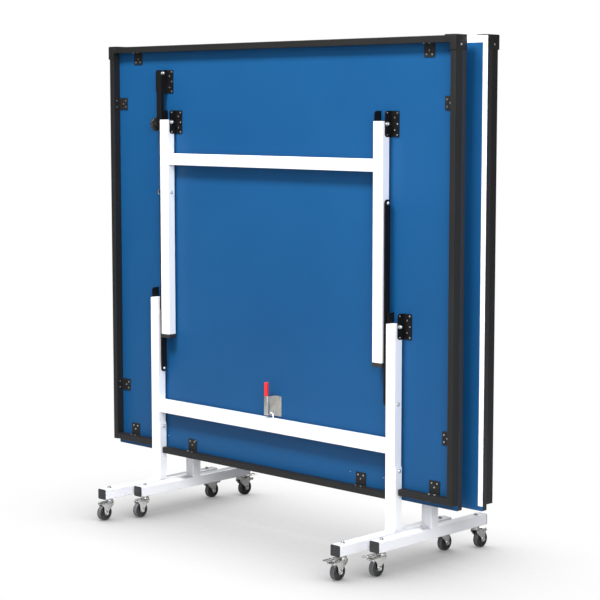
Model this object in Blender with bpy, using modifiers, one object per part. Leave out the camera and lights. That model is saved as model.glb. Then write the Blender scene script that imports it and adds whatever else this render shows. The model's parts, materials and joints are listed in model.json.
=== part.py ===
"""Folding table-tennis table in its storage position: two identical half tables on castored trolleys."""
import math

import bmesh
import bpy
from mathutils import Matrix, Vector

# Playing surface, metres
board_width = 1.525
half_length = 1.370
play_height = 0.760
board_thickness = 0.018
net_edge_height = 0.197      # lower edge of the stored board above the floor
board_corner = 0.003

# Rails round the underside of the board
rail_width = 0.020
rail_depth = 0.0285
rail_edge = 0.002
rail_setback = 0.018         # side rails stop this far short of the net edge
tab_size = 0.040
tab_thickness = 0.002
side_tab_heights = (0.209, half_length - 0.191)   # above the net edge
end_tab_x = 0.643
corner_tab_x = 0.675
net_tab_x = 0.3825
net_rail_gap = 0.008         # clear space on each side of a post

# How the stored halves stand to each other
storage_gap = 0.032          # between the two playing surfaces
side_shift = 0.026           # each half stands this far off the middle

# Trolley
post_x = 0.531
post_width = 0.036
post_depth = 0.034
tube_wall = 0.0018
tube_edge = 0.003
post_above_pivot = 0.007
crossbar_low = 0.338
crossbar_height = 0.043
crossbar_depth = 0.030
seam_height = 0.276
sleeve_length = 0.060
foot_length = 0.500
foot_height = 0.0335
foot_top = 0.1055

# Folding linkage
pivot_to_hinge = 0.595       # panel pivot to leg hinge, and the length of a strut between pins
link_drop = 0.232            # leg hinge to strut pin, and panel pivot to strut pin
pivot_depth = 0.0395         # pivots below the playing surface
pin_radius = 0.005
pin_clearance = 0.0003
head_reach = 0.0006
strut_width = 0.022
strut_thickness = 0.005
strut_gap = 0.004

# End leg frame
leg_x = 0.4765
leg_width = 0.038
leg_depth = 0.032
leg_above_hinge = 0.008
foot_plug_height = 0.014
floor_gap = 0.0005           # under the leg feet when the half is unfolded
leg_bar_drop = 0.103         # leg hinge to the top of the leg crossbar
leg_bar_height = 0.038
leg_bar_depth = 0.026

# Folded steel brackets
bracket_height = 0.077
bracket_plate = 0.0025
bracket_base = 0.030
bracket_front = 0.0465       # front of a flange below the playing surface
bracket_corner = 0.008
notch_above = 0.004          # the base is open between the flanges from here up, above the pivot
base_corner = 0.003
fit_gap = 0.0008             # between a tube and a bracket flange
touch_gap = 0.0003           # between pieces that touch
weld = 0.001                 # how far one piece runs into another that it is joined to
overrun = 0.010              # how far a cutter runs past the wall it cuts
trim = 0.0004                # small step that keeps joined faces apart

# Telescopic stay, on the left side of each half
stay_above_hinge = 0.162
channel_width = 0.020
channel_depth = 0.016
channel_wall = 0.002
channel_length = 0.188
channel_above_pin = 0.008
rod_width = 0.006
rod_depth = 0.008
rod_overlap = 0.055
stay_edge = 0.0015
stay_pin_from_top = 0.010
stay_gap = 0.0055            # from a strut to the middle of the stay

# Storage latch
latch_low = 0.386
latch_plate_height = 0.065
latch_plate_width = 0.031
latch_plate = 0.002
latch_flange_depth = 0.023
latch_corner = 0.006
lever_width = 0.016
lever_depth = 0.018
lever_low = 0.390
lever_top = 0.4500
grip_top = 0.495
grip_width = 0.012
grip_depth = 0.011
grip_round = 0.004
lever_round = 0.003
latch_pivot_height = 0.400
latch_pivot_depth = 0.018    # behind the board's underside
lever_forward = 0.0065       # middle of the lever beyond its pivot
latch_pin_radius = 0.003

# Castors
castor_from_end = 0.030
castor_trail = 0.022
wheel_radius = 0.026
wheel_width = 0.018
tread_round = 0.005
hub_recess = 0.002
axle_radius = 0.004
fork_plate = 0.0025
fork_gap = 0.0015
fork_top = 0.062
fork_tip = 0.008             # half the width of a cheek at the axle
fork_tip_drop = 0.0065
fork_back_drop = 0.012
crown_reach = 0.004
head_radius = 0.014
stem_radius = 0.005
stem_above_foot = 0.008
pedal_width = 0.022
pedal_length = 0.062
pedal_thickness = 0.003
pedal_height = 0.0655
pedal_gap = 0.0015
pedal_round = 0.005

# Worked-out places in a half: X across, Y from the playing surface (underside is -Y), Z up
top_edge = net_edge_height + half_length
underside = -board_thickness
rail_front = underside - rail_depth
pivot_y = -pivot_depth
pivot_z = play_height - pivot_depth
hinge_z = pivot_z + pivot_to_hinge
strut_low_z = pivot_z - link_drop
strut_high_z = hinge_z - link_drop
stay_z = hinge_z + stay_above_hinge
post_inner = post_x - post_width / 2
post_outer = post_x + post_width / 2
leg_inner = leg_x - leg_width / 2
leg_outer = leg_x + leg_width / 2
strut_inner = leg_outer + strut_gap
strut_outer = strut_inner + strut_thickness
channel_x = -(strut_outer + stay_gap)
foot_low = foot_top - foot_height
castor_reach = foot_length / 2 - castor_from_end
brakes = {("right", "front"), ("left", "rear")}

finishes = {
    "board_blue": ((0.018, 0.125, 0.352, 1), 0.45, 0.0),
    "apron_black": ((0.017, 0.016, 0.016, 1), 0.42, 0.6),
    "bracket_black": ((0.010, 0.010, 0.011, 1), 0.38, 0.7),
    "tube_white": ((0.86, 0.87, 0.89, 1), 0.30, 0.0),
    "zinc": ((0.58, 0.58, 0.55, 1), 0.34, 1.0),
    "tread_grey": ((0.085, 0.088, 0.090, 1), 0.62, 0.0),
    "latch_grey": ((0.36, 0.35, 0.33, 1), 0.40, 0.8),
    "rod_grey": ((0.50, 0.50, 0.51, 1), 0.32, 0.9),
}


def clear_scene():
    for obj in list(bpy.data.objects):
        bpy.data.objects.remove(obj, do_unlink=True)


def new_collection(name, hidden=False):
    collection = bpy.data.collections.new(name)
    collection.hide_render = hidden
    bpy.context.scene.collection.children.link(collection)
    return collection


def mesh_object(name, work, collection):
    """An object holding a bmesh, which is freed."""
    bmesh.ops.recalc_face_normals(work, faces=work.faces)
    mesh = bpy.data.meshes.new(name)
    work.to_mesh(mesh)
    work.free()
    obj = bpy.data.objects.new(name, mesh)
    collection.objects.link(obj)
    return obj


def box(name, low, high, round_axis=None, radius=0.0, segments=2, keep=None):
    """A block between two corners, with the edges along one axis rounded."""
    low = Vector(low)
    high = Vector(high)
    work = bmesh.new()
    bmesh.ops.create_cube(work, size=1.0)
    size = high - low
    middle = (high + low) / 2
    stretch = Matrix.Translation(middle) @ Matrix.Diagonal((*size, 1))
    bmesh.ops.transform(work, matrix=stretch, verts=work.verts)
    if round_axis is not None and radius > 0:
        edges = [e for e in work.edges if along(e, round_axis) and (keep is None or keep(e.verts[0].co))]
        bmesh.ops.bevel(work, geom=edges, offset=radius, segments=segments, profile=0.5, affect="EDGES")
    return mesh_object(name, work, cutters)


def along(edge, axis):
    direction = (edge.verts[1].co - edge.verts[0].co).normalized()
    return abs(direction[axis]) > 0.99


def rod(name, start, end, radius, sides=12):
    """A round bar between two points."""
    start = Vector(start)
    end = Vector(end)
    line = end - start
    work = bmesh.new()
    bmesh.ops.create_cone(
        work, cap_ends=True, segments=sides, radius1=radius, radius2=radius, depth=line.length
    )
    turn = line.to_track_quat("Z", "Y").to_matrix().to_4x4()
    bmesh.ops.transform(work, matrix=Matrix.Translation((start + end) / 2) @ turn, verts=work.verts)
    return mesh_object(name, work, cutters)


def turned(name, profile, centre, sides=24):
    """A solid turned about the X axis through centre, from (offset along X, radius) points."""
    mesh = bpy.data.meshes.new(name)
    points = [(x, 0, r) for x, r in profile]
    count = len(points)
    mesh.from_pydata(points, [(i, (i + 1) % count) for i in range(count)], [])
    obj = bpy.data.objects.new(name, mesh)
    obj.location = centre
    cutters.objects.link(obj)
    screw = obj.modifiers.new("Screw", "SCREW")
    screw.axis = "X"
    screw.steps = sides
    screw.render_steps = sides
    screw.use_merge_vertices = True
    screw.merge_threshold = 0.00001
    return obj


def outline_plate(name, points, low, high):
    """A plate across X between two places, from its (y, z) outline."""
    work = bmesh.new()
    ring = [work.verts.new((low, y, z)) for y, z in points]
    face = work.faces.new(ring)
    grown = bmesh.ops.extrude_face_region(work, geom=[face])
    moved = [item for item in grown["geom"] if isinstance(item, bmesh.types.BMVert)]
    bmesh.ops.translate(work, vec=(high - low, 0, 0), verts=moved)
    return mesh_object(name, work, cutters)


def arc(centre, radius, start, end, steps):
    """Points of an arc in the (y, z) plane, angles in degrees."""
    angles = [math.radians(start + (end - start) * i / steps) for i in range(steps + 1)]
    return [(centre[0] + radius * math.cos(a), centre[1] + radius * math.sin(a)) for a in angles]


def combine(base, joined=(), cut=()):
    """The base with pieces joined and then cut, baked to one mesh in the half's own axes."""
    for kind, others in (("UNION", joined), ("DIFFERENCE", cut)):
        for other in others:
            modifier = base.modifiers.new(kind.title(), "BOOLEAN")
            modifier.operation = kind
            modifier.solver = "EXACT"
            modifier.object = other
    graph = bpy.context.evaluated_depsgraph_get()
    graph.update()
    mesh = bpy.data.meshes.new_from_object(base.evaluated_get(graph))
    mesh.transform(base.matrix_world)
    work = bmesh.new()
    work.from_mesh(mesh)
    bmesh.ops.remove_doubles(work, verts=work.verts, dist=0.000002)
    bmesh.ops.dissolve_degenerate(work, edges=work.edges, dist=0.000002)
    bmesh.ops.recalc_face_normals(work, faces=work.faces)
    work.to_mesh(mesh)
    work.free()
    for used in (base, *joined, *cut):
        used.hide_render = True
        used.display_type = "WIRE"
    return mesh


def finished(name, finish):
    """A material of this piece's own, in one of the finishes."""
    colour, roughness, metallic = finishes[finish]
    material = bpy.data.materials.new(name)
    material.use_nodes = True
    shader = material.node_tree.nodes["Principled BSDF"]
    shader.inputs["Base Color"].default_value = colour
    shader.inputs["Roughness"].default_value = roughness
    shader.inputs["Metallic"].default_value = metallic
    material.diffuse_color = colour
    return material


def place(name, mesh, finish, origin):
    """One object for each half, with its origin on the point that the piece turns about."""
    mesh.name = name
    mesh.transform(Matrix.Translation(-Vector(origin)))
    mesh.materials.clear()
    mesh.materials.append(finished(name, finish))
    mesh.shade_smooth()
    mesh.set_sharp_from_angle(angle=math.radians(35))
    for half in halves:
        obj = bpy.data.objects.new(f"{half.name[-1]}_{name}", mesh)
        obj.location = origin
        obj.parent = half
        parts.objects.link(obj)


def tube_box(name, low, high, axis):
    return box(name, low, high, axis, tube_edge)


# Trolley ---------------------------------------------------------------------------------------------


def make_upright_frame():
    post_low = seam_height + touch_gap
    post_high = pivot_z + post_above_pivot
    half_depth = post_depth / 2
    posts = []
    bores = []
    pins = []
    for side in (-1, 1):
        x = side * post_x
        posts.append(tube_box(
            "post", (x - post_width / 2, pivot_y - half_depth, post_low),
            (x + post_width / 2, pivot_y + half_depth, post_high), 2,
        ))
        bores.append(box(
            "post_bore",
            (x - post_width / 2 + tube_wall, pivot_y - half_depth + tube_wall, post_low - overrun),
            (x + post_width / 2 - tube_wall, pivot_y + half_depth - tube_wall, post_high - tube_wall),
        ))
        reach = post_width / 2 + fit_gap + bracket_plate + head_reach
        pins.append(rod(
            "panel_pin", (x - reach, pivot_y, pivot_z), (x + reach, pivot_y, pivot_z), pin_radius
        ))
        inner = side * (strut_inner - head_reach)
        pins.append(rod(
            "strut_pin", (inner, pivot_y, strut_low_z), (side * (post_inner + weld), pivot_y, strut_low_z),
            pin_radius,
        ))
    bar_front = pivot_y - half_depth + weld
    crossbar = tube_box(
        "crossbar", (-post_inner - weld, bar_front, crossbar_low),
        (post_inner + weld, bar_front + crossbar_depth, crossbar_low + crossbar_height), 0,
    )
    bar_bore = box(
        "crossbar_bore", (-post_x, bar_front + tube_wall, crossbar_low + tube_wall),
        (post_x, bar_front + crossbar_depth - tube_wall, crossbar_low + crossbar_height - tube_wall),
    )
    mesh = combine(posts[0], [posts[1], crossbar], [*bores, bar_bore])
    hollow = bpy.data.objects.new("upright_hollow", mesh)
    cutters.objects.link(hollow)
    place("upright_frame", combine(hollow, pins), "tube_white", (0, pivot_y, pivot_z))


def make_foot(side, word):
    x = side * post_x
    half_foot = foot_length / 2
    foot = tube_box(
        "foot_bar", (x - post_width / 2, pivot_y - half_foot, foot_low),
        (x + post_width / 2, pivot_y + half_foot, foot_top), 1,
    )
    stub = tube_box(
        "stub", (x - post_width / 2, pivot_y - post_depth / 2, foot_top - 2 * tube_wall),
        (x + post_width / 2, pivot_y + post_depth / 2, seam_height), 2,
    )
    inset = tube_wall + touch_gap
    sleeve_top = seam_height + sleeve_length
    sleeve = box(
        "sleeve",
        (x - post_width / 2 + inset, pivot_y - post_depth / 2 + inset, seam_height - sleeve_length),
        (x + post_width / 2 - inset, pivot_y + post_depth / 2 - inset, sleeve_top),
    )
    foot_bore = box(
        "foot_bore", (x - post_width / 2 + tube_wall, pivot_y - half_foot - overrun, foot_low + tube_wall),
        (x + post_width / 2 - tube_wall, pivot_y + half_foot + overrun, foot_top - tube_wall),
    )
    inner = inset + tube_wall
    sleeve_bore = box(
        "sleeve_bore",
        (x - post_width / 2 + inner, pivot_y - post_depth / 2 + inner, foot_low + foot_height / 2),
        (x + post_width / 2 - inner, pivot_y + post_depth / 2 - inner, sleeve_top + overrun),
    )
    holes = []
    for reach in (-castor_reach, castor_reach):
        y = pivot_y + reach
        holes.append(rod(
            "stem_hole", (x, y, foot_low - overrun), (x, y, foot_top + overrun), stem_radius + pin_clearance
        ))
    mesh = combine(foot, [stub, sleeve], [foot_bore, sleeve_bore, *holes])
    place(f"foot_{word}", mesh, "tube_white", (x, pivot_y, foot_top))


# Castors ---------------------------------------------------------------------------------------------


def make_castor(side, word, end, place_word):
    x = side * post_x
    stem_y = pivot_y + end * castor_reach
    axle_y = stem_y + end * castor_trail
    cheek = wheel_width / 2 + fork_gap
    cheeks = []
    for hand in (-1, 1):
        inner = x + hand * cheek
        outer = x + hand * (cheek + fork_plate)
        back = stem_y - end * head_radius
        front = stem_y + end * head_radius
        low = wheel_radius - fork_tip_drop
        tip = [
            (axle_y + end * fork_tip, wheel_radius), (axle_y + end * fork_tip / 2, low),
            (axle_y - end * fork_tip / 2, low), (axle_y - end * fork_tip, wheel_radius),
        ]
        top = [
            (back, fork_top - fork_back_drop), (back, fork_top), (front + end * fork_tip, fork_top),
            (front + end * fork_tip, fork_top - fork_back_drop + pedal_thickness),
        ]
        cheeks.append(outline_plate("cheek", tip + top, min(inner, outer), max(inner, outer)))
    crown_ends = sorted((stem_y - end * (head_radius - trim), stem_y + end * (head_radius + crown_reach)))
    crown_half = cheek + fork_plate - trim
    crown = box(
        "crown", (x - crown_half, crown_ends[0], fork_top - fork_plate),
        (x + crown_half, crown_ends[1], fork_top - trim),
    )
    head_top = foot_low - touch_gap
    head = rod("head", (x, stem_y, fork_top - 2 * weld), (x, stem_y, head_top), head_radius - weld, 16)
    stem = rod("stem", (x, stem_y, head_top - 2 * weld), (x, stem_y, foot_top + stem_above_foot), stem_radius)
    reach = cheek + fork_plate + weld
    axle = rod("axle", (x - reach, axle_y, wheel_radius), (x + reach, axle_y, wheel_radius), axle_radius)
    fork = combine(crown, [*cheeks, head, stem, axle])
    place(f"castor_fork_{place_word}_{word}", fork, "zinc", (x, stem_y, foot_low))

    bore = axle_radius + pin_clearance
    flat = wheel_width / 2
    rim = wheel_radius - tread_round
    bend = [(flat - tread_round + tread_round * math.sin(math.radians(a)),
             rim + tread_round * math.cos(math.radians(a))) for a in (0, 45, 90)]
    outside = bend + [(flat - hub_recess, rim - 2 * hub_recess), (flat - hub_recess, bore)]
    profile = outside + [(-offset, radius) for offset, radius in reversed(outside)]
    wheel = combine(turned("wheel", profile, (x, axle_y, wheel_radius)))
    place(f"castor_wheel_{place_word}_{word}", wheel, "tread_grey", (x, axle_y, wheel_radius))

    if (word, place_word) in brakes:
        root = stem_y + end * (head_radius + pedal_gap)
        tip_y = root + end * pedal_length
        low_y = min(root, tip_y)
        high_y = max(root, tip_y)
        pedal = box(
            "pedal", (x - pedal_width / 2, low_y, pedal_height),
            (x + pedal_width / 2, high_y, pedal_height + pedal_thickness), 2, pedal_round, 3,
            lambda corner: (corner.y - (low_y + high_y) / 2) * end > 0,
        )
        place(f"brake_pedal_{place_word}_{word}", combine(pedal), "zinc", (x, root, pedal_height))


# Table top -------------------------------------------------------------------------------------------


def make_board():
    half = board_width / 2
    board = box("board", (-half, underside, net_edge_height), (half, 0, top_edge), 1, board_corner)
    place("board", combine(board), "board_blue", (0, pivot_y, pivot_z))


def tab_box(name, x_low, x_high, z_low, z_high):
    back = underside - touch_gap
    return box(name, (x_low, back - tab_thickness, z_low), (x_high, back, z_high))


def make_end_rail():
    half = board_width / 2
    low = top_edge - rail_width
    back = underside - touch_gap
    inner = half - rail_width - touch_gap
    rail = box("end_rail", (-inner, rail_front, low), (inner, back, top_edge), 0, rail_edge)
    tabs = [tab_box("tab", x - tab_size / 2, x + tab_size / 2, low - tab_size, low + weld)
            for x in (-end_tab_x, end_tab_x)]
    place("apron_end", combine(rail, tabs), "apron_black", (0, pivot_y, pivot_z))


def make_side_rail(side, word):
    half = board_width / 2
    outer = side * half
    inner = side * (half - rail_width)
    back = underside - touch_gap
    low = net_edge_height + rail_setback
    rail = box(
        "side_rail", (min(outer, inner), rail_front, low), (max(outer, inner), back, top_edge), 2, rail_edge
    )
    post_side = side * (post_outer + net_rail_gap)
    joint_side = outer - side * 2 * rail_edge
    corner = box(
        "corner_rail", (min(post_side, joint_side), rail_front + trim, low + trim),
        (max(post_side, joint_side), back - trim, low + rail_width), 0, rail_edge,
    )
    joined = [corner]
    for height in side_tab_heights:
        z = net_edge_height + height
        reach = inner - side * tab_size
        joined.append(tab_box(
            "tab", min(reach, inner + side * weld), max(reach, inner + side * weld),
            z - tab_size / 2, z + tab_size / 2,
        ))
    x = side * corner_tab_x
    top = low + rail_width
    joined.append(tab_box("tab", x - tab_size / 2, x + tab_size / 2, top - weld, top + tab_size))
    place(f"apron_{word}", combine(rail, joined), "apron_black", (0, pivot_y, pivot_z))


def make_net_rail():
    inner = post_inner - net_rail_gap
    back = underside - touch_gap
    rail = box(
        "net_rail", (-inner, rail_front, net_edge_height),
        (inner, back, net_edge_height + rail_width), 0, rail_edge,
    )
    low = net_edge_height + rail_width
    tabs = [tab_box("tab", x - tab_size / 2, x + tab_size / 2, low - weld, low + tab_size)
            for x in (-net_tab_x, net_tab_x)]
    place("apron_net", combine(rail, tabs), "apron_black", (0, pivot_y, pivot_z))


def make_bracket(name, centre_x, width, z, above, hole, pin=False):
    """A channel of two flanges round a piece of this width, with a screwed base out to +X."""
    back = underside - touch_gap
    low = z - bracket_height + above
    high = z + above
    flanges = []
    for side in (-1, 1):
        inner = centre_x + side * (width / 2 + fit_gap)
        outer = inner + side * bracket_plate
        flanges.append(box(
            "flange", (min(inner, outer), -bracket_front, low), (max(inner, outer), back, high),
            0, bracket_corner, 2, lambda corner: corner.y < pivot_y,
        ))
    left = centre_x - width / 2 - fit_gap - bracket_plate + trim
    right = centre_x + width / 2 + fit_gap + bracket_plate + bracket_base
    base = box("base", (left, back - bracket_plate, low + trim), (right, back, high - trim), 1, base_corner)
    reach = width / 2 + overrun
    bolt = rod("bolt", (centre_x - reach, pivot_y, z), (centre_x + reach, pivot_y, z), hole)
    if not pin:
        half_gap = width / 2 + fit_gap - trim
        notch = box(
            "notch", (centre_x - half_gap, back - bracket_plate - overrun, z + notch_above),
            (centre_x + half_gap, back + overrun, high + overrun),
        )
        return place(name, combine(base, flanges, [bolt, notch]), "bracket_black", (centre_x, pivot_y, z))
    reach = width / 2 + fit_gap + weld
    axle = rod("stay_pin", (centre_x - reach, pivot_y, z), (centre_x + reach, pivot_y, z), hole)
    return place(name, combine(base, [*flanges, axle]), "bracket_black", (centre_x, pivot_y, z))


# Leg frame, struts and stay --------------------------------------------------------------------------


def make_leg_frame():
    leg_low = hinge_z - pivot_z + floor_gap
    leg_high = hinge_z + leg_above_hinge
    half_depth = leg_depth / 2
    legs = []
    bores = []
    pins = []
    for side in (-1, 1):
        x = side * leg_x
        legs.append(tube_box(
            "leg", (x - leg_width / 2, pivot_y - half_depth, leg_low),
            (x + leg_width / 2, pivot_y + half_depth, leg_high), 2,
        ))
        bores.append(box(
            "leg_bore",
            (x - leg_width / 2 + tube_wall, pivot_y - half_depth + tube_wall, leg_low + foot_plug_height),
            (x + leg_width / 2 - tube_wall, pivot_y + half_depth - tube_wall, leg_high + overrun),
        ))
        reach = leg_width / 2 + fit_gap + bracket_plate + trim / 2
        pins.append(rod(
            "leg_pin", (x - reach, pivot_y, hinge_z), (x + reach, pivot_y, hinge_z), pin_radius
        ))
        tip = strut_outer + head_reach if side > 0 else -channel_x + rod_width / 2 + head_reach
        pins.append(rod(
            "strut_pin", (side * (leg_outer - weld), pivot_y, strut_high_z),
            (side * tip, pivot_y, strut_high_z), pin_radius,
        ))
    bar_top = hinge_z - leg_bar_drop
    bar_front = pivot_y - half_depth + weld
    bar = tube_box(
        "leg_bar", (-leg_inner - weld, bar_front, bar_top - leg_bar_height),
        (leg_inner + weld, bar_front + leg_bar_depth, bar_top), 0,
    )
    bar_bore = box(
        "leg_bar_bore", (-leg_x, bar_front + tube_wall, bar_top - leg_bar_height + tube_wall),
        (leg_x, bar_front + leg_bar_depth - tube_wall, bar_top - tube_wall),
    )
    mesh = combine(legs[0], [legs[1], bar], [*bores, bar_bore])
    hollow = bpy.data.objects.new("leg_hollow", mesh)
    cutters.objects.link(hollow)
    place("leg_frame", combine(hollow, pins), "tube_white", (0, pivot_y, hinge_z))


def make_strut(side, word):
    radius = strut_width / 2
    outline = arc((pivot_y, strut_high_z), radius, 0, 180, 6)
    outline += arc((pivot_y, strut_low_z), radius, 180, 360, 6)
    low = min(side * strut_inner, side * strut_outer)
    high = max(side * strut_inner, side * strut_outer)
    bar = outline_plate("strut", outline, low, high)
    bore = pin_radius + pin_clearance
    holes = [rod("strut_hole", (low - overrun, pivot_y, z), (high + overrun, pivot_y, z), bore)
             for z in (strut_low_z, strut_high_z)]
    place(f"strut_{word}", combine(bar, (), holes), "bracket_black", (low, pivot_y, strut_low_z))


def make_stay():
    top = stay_z + channel_above_pin
    low = top - channel_length
    front = pivot_y - channel_depth / 2
    outer = box(
        "channel", (channel_x - channel_width / 2, front, low),
        (channel_x + channel_width / 2, front + channel_depth, top), 2, stay_edge,
    )
    inner = box(
        "channel_inside", (channel_x - channel_width / 2 + channel_wall, front + channel_wall, low - overrun),
        (channel_x + channel_width / 2 - channel_wall, front + channel_depth + overrun, top + overrun),
    )
    hole = rod(
        "channel_hole", (channel_x - channel_width, pivot_y, stay_z),
        (channel_x + channel_width, pivot_y, stay_z), axle_radius + pin_clearance,
    )
    place("stay_channel", combine(outer, (), [inner, hole]), "bracket_black", (channel_x, pivot_y, stay_z))

    bar = box(
        "rod", (channel_x - rod_width / 2, pivot_y - rod_depth / 2, strut_high_z),
        (channel_x + rod_width / 2, pivot_y + rod_depth / 2, low + rod_overlap), 2, stay_edge,
    )
    eye = rod(
        "eye", (channel_x - rod_width / 2 + trim, pivot_y, strut_high_z),
        (channel_x + rod_width / 2 - trim, pivot_y, strut_high_z), strut_width / 2, 16,
    )
    eye_hole = rod(
        "eye_hole", (channel_x - overrun, pivot_y, strut_high_z),
        (channel_x + overrun, pivot_y, strut_high_z), pin_radius + pin_clearance,
    )
    place("stay_rod", combine(bar, [eye], [eye_hole]), "rod_grey", (channel_x, pivot_y, strut_high_z))


# Storage latch ---------------------------------------------------------------------------------------


def make_latch():
    back = underside - touch_gap
    edge = lever_width / 2 + fit_gap
    plate = box(
        "latch_plate", (edge, back - latch_plate, latch_low),
        (edge + latch_plate_width, back, latch_low + latch_plate_height), 1, base_corner,
    )
    flange = box(
        "latch_flange", (edge - trim / 4, back - latch_flange_depth, latch_low + trim),
        (edge + latch_plate, back - trim, latch_low + latch_plate_height - trim),
        0, latch_corner, 3, lambda corner: corner.y < back - latch_flange_depth / 2,
    )
    pin_y = back - latch_pivot_depth
    pin = rod(
        "latch_pin", (-lever_width / 2 - 2 * weld, pin_y, latch_pivot_height),
        (edge + weld, pin_y, latch_pivot_height), latch_pin_radius,
    )
    place("latch_bracket", combine(plate, [flange, pin]), "latch_grey", (edge, pin_y, latch_pivot_height))

    lever_front = pin_y - lever_forward - lever_depth / 2
    arm = box(
        "lever_arm", (-lever_width / 2, lever_front, lever_low),
        (lever_width / 2, lever_front + lever_depth, lever_top), 0, lever_round,
    )
    grip = box(
        "lever_grip", (-lever_width / 2 + trim, lever_front + trim, lever_top - 2 * weld),
        (-lever_width / 2 + trim + grip_width, lever_front + trim + grip_depth, grip_top), 2, grip_round, 3,
    )
    hole = rod(
        "lever_hole", (-lever_width, pin_y, latch_pivot_height), (lever_width, pin_y, latch_pivot_height),
        latch_pin_radius + pin_clearance,
    )
    place("latch_lever", combine(arm, [grip], [hole]), "latch_grey", (0, pin_y, latch_pivot_height))


clear_scene()
parts = new_collection("table_tennis_table")
cutters = new_collection("cutters", hidden=True)
halves = []
for half_name, turn, hand in (("half_a", 0.0, -1), ("half_b", math.pi, 1)):
    half_empty = bpy.data.objects.new(half_name, None)
    half_empty.location = (hand * side_shift, hand * storage_gap / 2, 0)
    half_empty.rotation_euler = (0, 0, turn)
    parts.objects.link(half_empty)
    halves.append(half_empty)

make_upright_frame()
make_board()
make_end_rail()
make_net_rail()
make_leg_frame()
make_stay()
make_latch()
for side_sign, side_word in ((-1, "left"), (1, "right")):
    make_foot(side_sign, side_word)
    make_side_rail(side_sign, side_word)
    make_strut(side_sign, side_word)
    make_bracket(
        f"pivot_bracket_{side_word}", side_sign * post_x, post_width, pivot_z, bracket_height / 2,
        pin_radius + pin_clearance,
    )
    make_bracket(
        f"leg_bracket_{side_word}", side_sign * leg_x, leg_width, hinge_z, bracket_height / 2,
        pin_radius + pin_clearance,
    )
    make_castor(side_sign, side_word, -1, "front")
    make_castor(side_sign, side_word, 1, "rear")
make_bracket("stay_bracket", channel_x, channel_width, stay_z, stay_pin_from_top, axle_radius, pin=True)
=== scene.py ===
import json
import math

import bmesh
import bpy
from mathutils import Matrix, Vector


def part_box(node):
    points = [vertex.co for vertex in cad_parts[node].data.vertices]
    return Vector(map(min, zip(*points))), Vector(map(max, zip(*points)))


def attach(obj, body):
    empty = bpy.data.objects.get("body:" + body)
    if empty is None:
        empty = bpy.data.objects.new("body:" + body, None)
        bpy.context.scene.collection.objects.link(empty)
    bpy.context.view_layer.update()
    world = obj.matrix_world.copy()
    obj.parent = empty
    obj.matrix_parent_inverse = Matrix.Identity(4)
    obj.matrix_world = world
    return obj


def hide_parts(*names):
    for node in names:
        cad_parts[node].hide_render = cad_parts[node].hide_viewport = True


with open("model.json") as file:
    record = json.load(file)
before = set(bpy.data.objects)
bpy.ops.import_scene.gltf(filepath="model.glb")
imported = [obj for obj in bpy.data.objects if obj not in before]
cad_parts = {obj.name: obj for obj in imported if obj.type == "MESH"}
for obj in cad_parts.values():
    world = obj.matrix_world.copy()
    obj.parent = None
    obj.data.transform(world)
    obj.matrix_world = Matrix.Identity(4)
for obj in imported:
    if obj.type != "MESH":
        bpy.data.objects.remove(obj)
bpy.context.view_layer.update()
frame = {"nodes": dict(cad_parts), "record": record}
print("frame loaded:", len(frame["nodes"]), "nodes")


# selecting and shaping

def deselectAll():
    if bpy.context.mode != "OBJECT":
        bpy.ops.object.mode_set(mode="OBJECT")
    bpy.ops.object.select_all(action="DESELECT")


def take(piece):
    deselectAll()
    piece.select_set(True)
    bpy.context.view_layer.objects.active = piece


def settle(piece):
    # place, turn and size go into the mesh
    take(piece)
    bpy.ops.object.transform_apply(location=True, rotation=True, scale=True)
    return piece


def addBox(name, low, high):
    deselectAll()
    middle = [(a + b) / 2 for a, b in zip(low, high)]
    size = [abs(b - a) for a, b in zip(low, high)]
    bpy.ops.mesh.primitive_cube_add(size=1, location=middle, scale=size)
    piece = bpy.context.object
    piece.name = name
    return settle(piece)


turnToAxis = {"x": (0, math.pi / 2, 0), "y": (math.pi / 2, 0, 0), "z": (0, 0, 0)}


def addRound(name, middle, radius, length, axis, sides=32):
    deselectAll()
    bpy.ops.mesh.primitive_cylinder_add(
        vertices=sides, radius=radius, depth=length, location=middle, rotation=turnToAxis[axis]
    )
    piece = bpy.context.object
    piece.name = name
    return settle(piece)


def openEdit(piece, mode="FACE"):
    take(piece)
    bpy.ops.object.mode_set(mode="EDIT")
    bpy.ops.mesh.select_mode(type=mode)
    bpy.ops.mesh.select_all(action="DESELECT")


def closeEdit():
    bpy.ops.object.mode_set(mode="OBJECT")


def pick(piece, kind, test):
    # selects faces, edges or verts that pass the test, by place
    mesh = bmesh.from_edit_mesh(piece.data)
    for item in getattr(mesh, kind):
        if test(item):
            item.select_set(True)
    mesh.select_flush_mode()
    bmesh.update_edit_mesh(piece.data)


def roundEdges(piece, width, segments, test=None):
    openEdit(piece, "EDGE")
    pick(piece, "edges", test or (lambda edge: True))
    bpy.ops.mesh.bevel(offset=width, segments=segments, profile=0.5, affect="EDGES")
    closeEdit()
    return piece


def insetPush(piece, test, thickness, depth):
    # a border round the picked faces, which then move along their normal
    openEdit(piece)
    pick(piece, "faces", test)
    bpy.ops.mesh.inset(thickness=thickness, depth=0)
    if depth:
        bpy.ops.mesh.inset(thickness=0, depth=depth)
    closeEdit()
    return piece


def clean(piece):
    # empty faces and doubled points left by a rounding that ran out of room
    openEdit(piece)
    bpy.ops.mesh.select_all(action="SELECT")
    bpy.ops.mesh.remove_doubles(threshold=0.00001)
    bpy.ops.mesh.dissolve_degenerate(threshold=0.00001)
    closeEdit()
    return piece


def softBevel(piece, width, segments=2, angle=30):
    take(piece)
    modifier = piece.modifiers.new("roundOver", "BEVEL")
    modifier.width = width
    modifier.segments = segments
    modifier.limit_method = "ANGLE"
    modifier.angle_limit = math.radians(angle)
    bpy.ops.object.modifier_apply(modifier=modifier.name)
    return piece


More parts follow.
